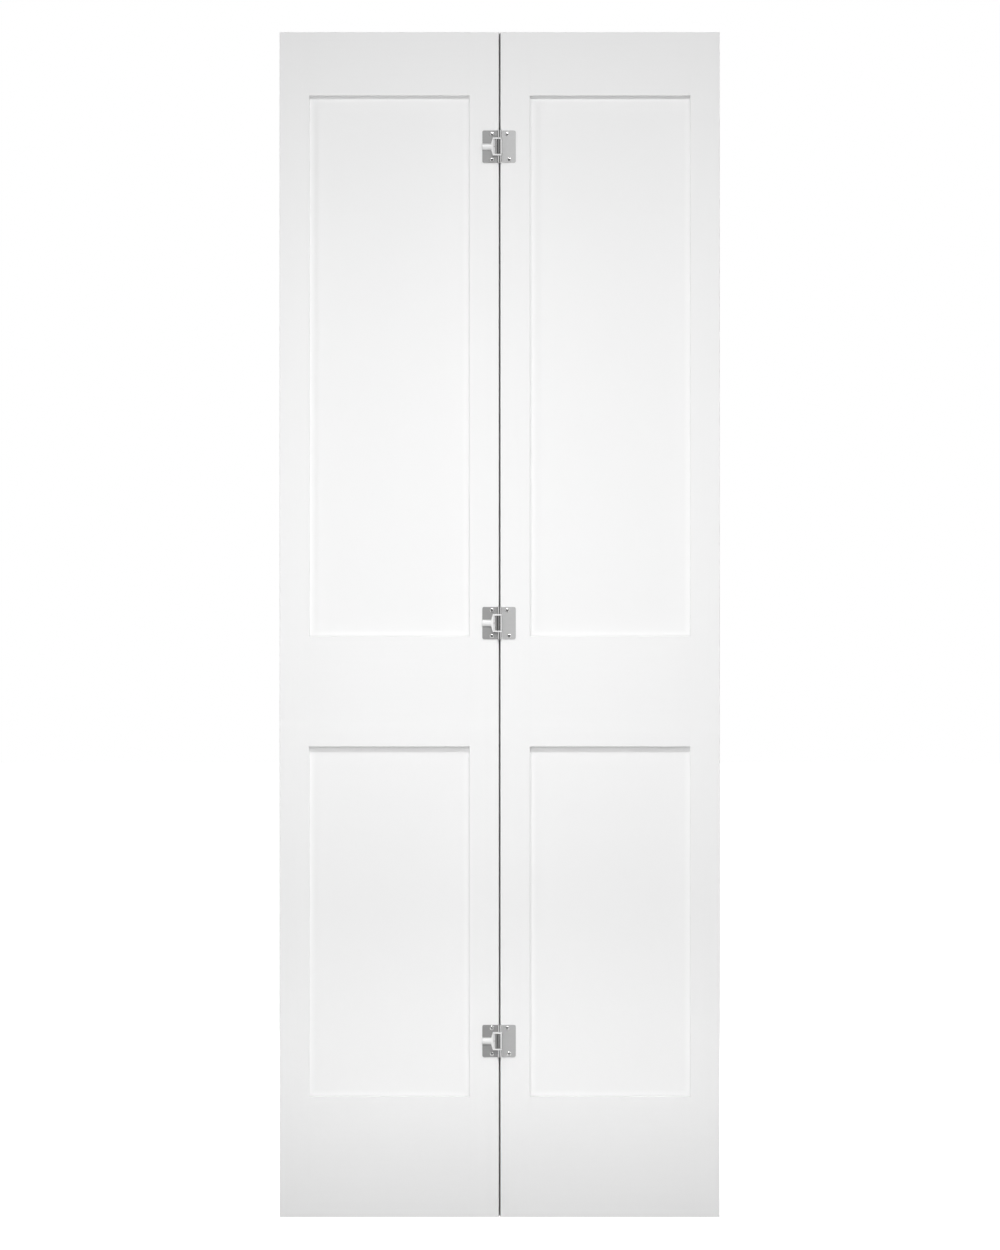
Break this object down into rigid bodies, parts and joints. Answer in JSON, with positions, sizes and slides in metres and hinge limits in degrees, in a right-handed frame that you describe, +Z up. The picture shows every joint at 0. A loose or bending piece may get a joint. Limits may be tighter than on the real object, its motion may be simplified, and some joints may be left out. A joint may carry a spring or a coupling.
{
  "type": "bifold closet door",
  "caption": "Two-leaf bifold closet door with recessed flat panels, folding on sprung surface hinges; seen closed, hinge side out.",
  "frame": {"origin": "mouth of the bottom pivot bore, on its axis, at the foot of the pivot leaf's outer stile", "axes": "+Z up along the door; +X from the pivot side to the leading side of the closed door; +Y from the closet side, which carries the hinges, to the room side"},
  "size_m": [0.745, 0.044, 2.0065],
  "materials": {
    "primed_wood": "satin white primer",
    "plated_steel": "satin nickel plate",
    "pin_steel": "bright zinc plate",
    "screw_steel": "bright nickel plate",
    "dark_steel": "oiled dark steel",
    "spring_steel": "drawn wire",
    "white_acetal": "moulded satin"
  },
  "bodies": {
    "pivot_leaf": {"pivot_leaf_outer_stile": "primed_wood", "pivot_leaf_hinge_stile": "primed_wood", "pivot_leaf_bottom_rail": "primed_wood", "pivot_leaf_lock_rail": "primed_wood", "pivot_leaf_top_rail": "primed_wood", "pivot_leaf_lower_panel": "primed_wood", "pivot_leaf_upper_panel": "primed_wood", "bottom_spring_plate": "plated_steel", "bottom_hinge_pin": "pin_steel", "bottom_spring": "spring_steel", "bottom_hinge_pivot_leaf_upper_screw": "screw_steel", "bottom_hinge_pivot_leaf_lower_screw": "screw_steel", "middle_spring_plate": "plated_steel", "middle_hinge_pin": "pin_steel", "middle_spring": "spring_steel", "middle_hinge_pivot_leaf_upper_screw": "screw_steel", "middle_hinge_pivot_leaf_lower_screw": "screw_steel", "top_spring_plate": "plated_steel", "top_hinge_pin": "pin_steel", "top_spring": "spring_steel", "top_hinge_pivot_leaf_upper_screw": "screw_steel", "top_hinge_pivot_leaf_lower_screw": "screw_steel"},
    "leading_leaf": {"leading_leaf_outer_stile": "primed_wood", "leading_leaf_hinge_stile": "primed_wood", "leading_leaf_bottom_rail": "primed_wood", "leading_leaf_lock_rail": "primed_wood", "leading_leaf_top_rail": "primed_wood", "leading_leaf_lower_panel": "primed_wood", "leading_leaf_upper_panel": "primed_wood", "bottom_cam_plate": "plated_steel", "bottom_hinge_leading_leaf_upper_screw": "screw_steel", "bottom_hinge_leading_leaf_lower_screw": "screw_steel", "middle_cam_plate": "plated_steel", "middle_hinge_leading_leaf_upper_screw": "screw_steel", "middle_hinge_leading_leaf_lower_screw": "screw_steel", "top_cam_plate": "plated_steel", "top_hinge_leading_leaf_upper_screw": "screw_steel", "top_hinge_leading_leaf_lower_screw": "screw_steel"},
    "bottom_yoke": {"bottom_snap_yoke": "white_acetal", "bottom_follower_pin": "dark_steel"},
    "middle_yoke": {"middle_snap_yoke": "white_acetal", "middle_follower_pin": "dark_steel"},
    "top_yoke": {"top_snap_yoke": "white_acetal", "top_follower_pin": "dark_steel"}
  },
  "joints": [
    {"name": "fold", "type": "hinge", "parent": "pivot_leaf", "child": "leading_leaf", "pos_m": [0.3535, -0.02216, 0], "axis": [0, 0, -1], "range_deg": [0, 175]},
    {"name": "bottom_yoke_slide", "type": "slide", "parent": "pivot_leaf", "child": "bottom_yoke", "axis": [-1, 0, 0], "range_m": [0, 0.0008], "deforming": ["bottom_spring"]},
    {"name": "middle_yoke_slide", "type": "slide", "parent": "pivot_leaf", "child": "middle_yoke", "axis": [-1, 0, 0], "range_m": [0, 0.0008], "deforming": ["middle_spring"]},
    {"name": "top_yoke_slide", "type": "slide", "parent": "pivot_leaf", "child": "top_yoke", "axis": [-1, 0, 0], "range_m": [0, 0.0008], "deforming": ["top_spring"]}
  ],
  "couplings": [
    {"joint": "bottom_yoke_slide", "follows": "fold", "m_per_rad": 0.00026192},
    {"joint": "middle_yoke_slide", "follows": "fold", "m_per_rad": 0.00026192},
    {"joint": "top_yoke_slide", "follows": "fold", "m_per_rad": 0.00026192}
  ]
}
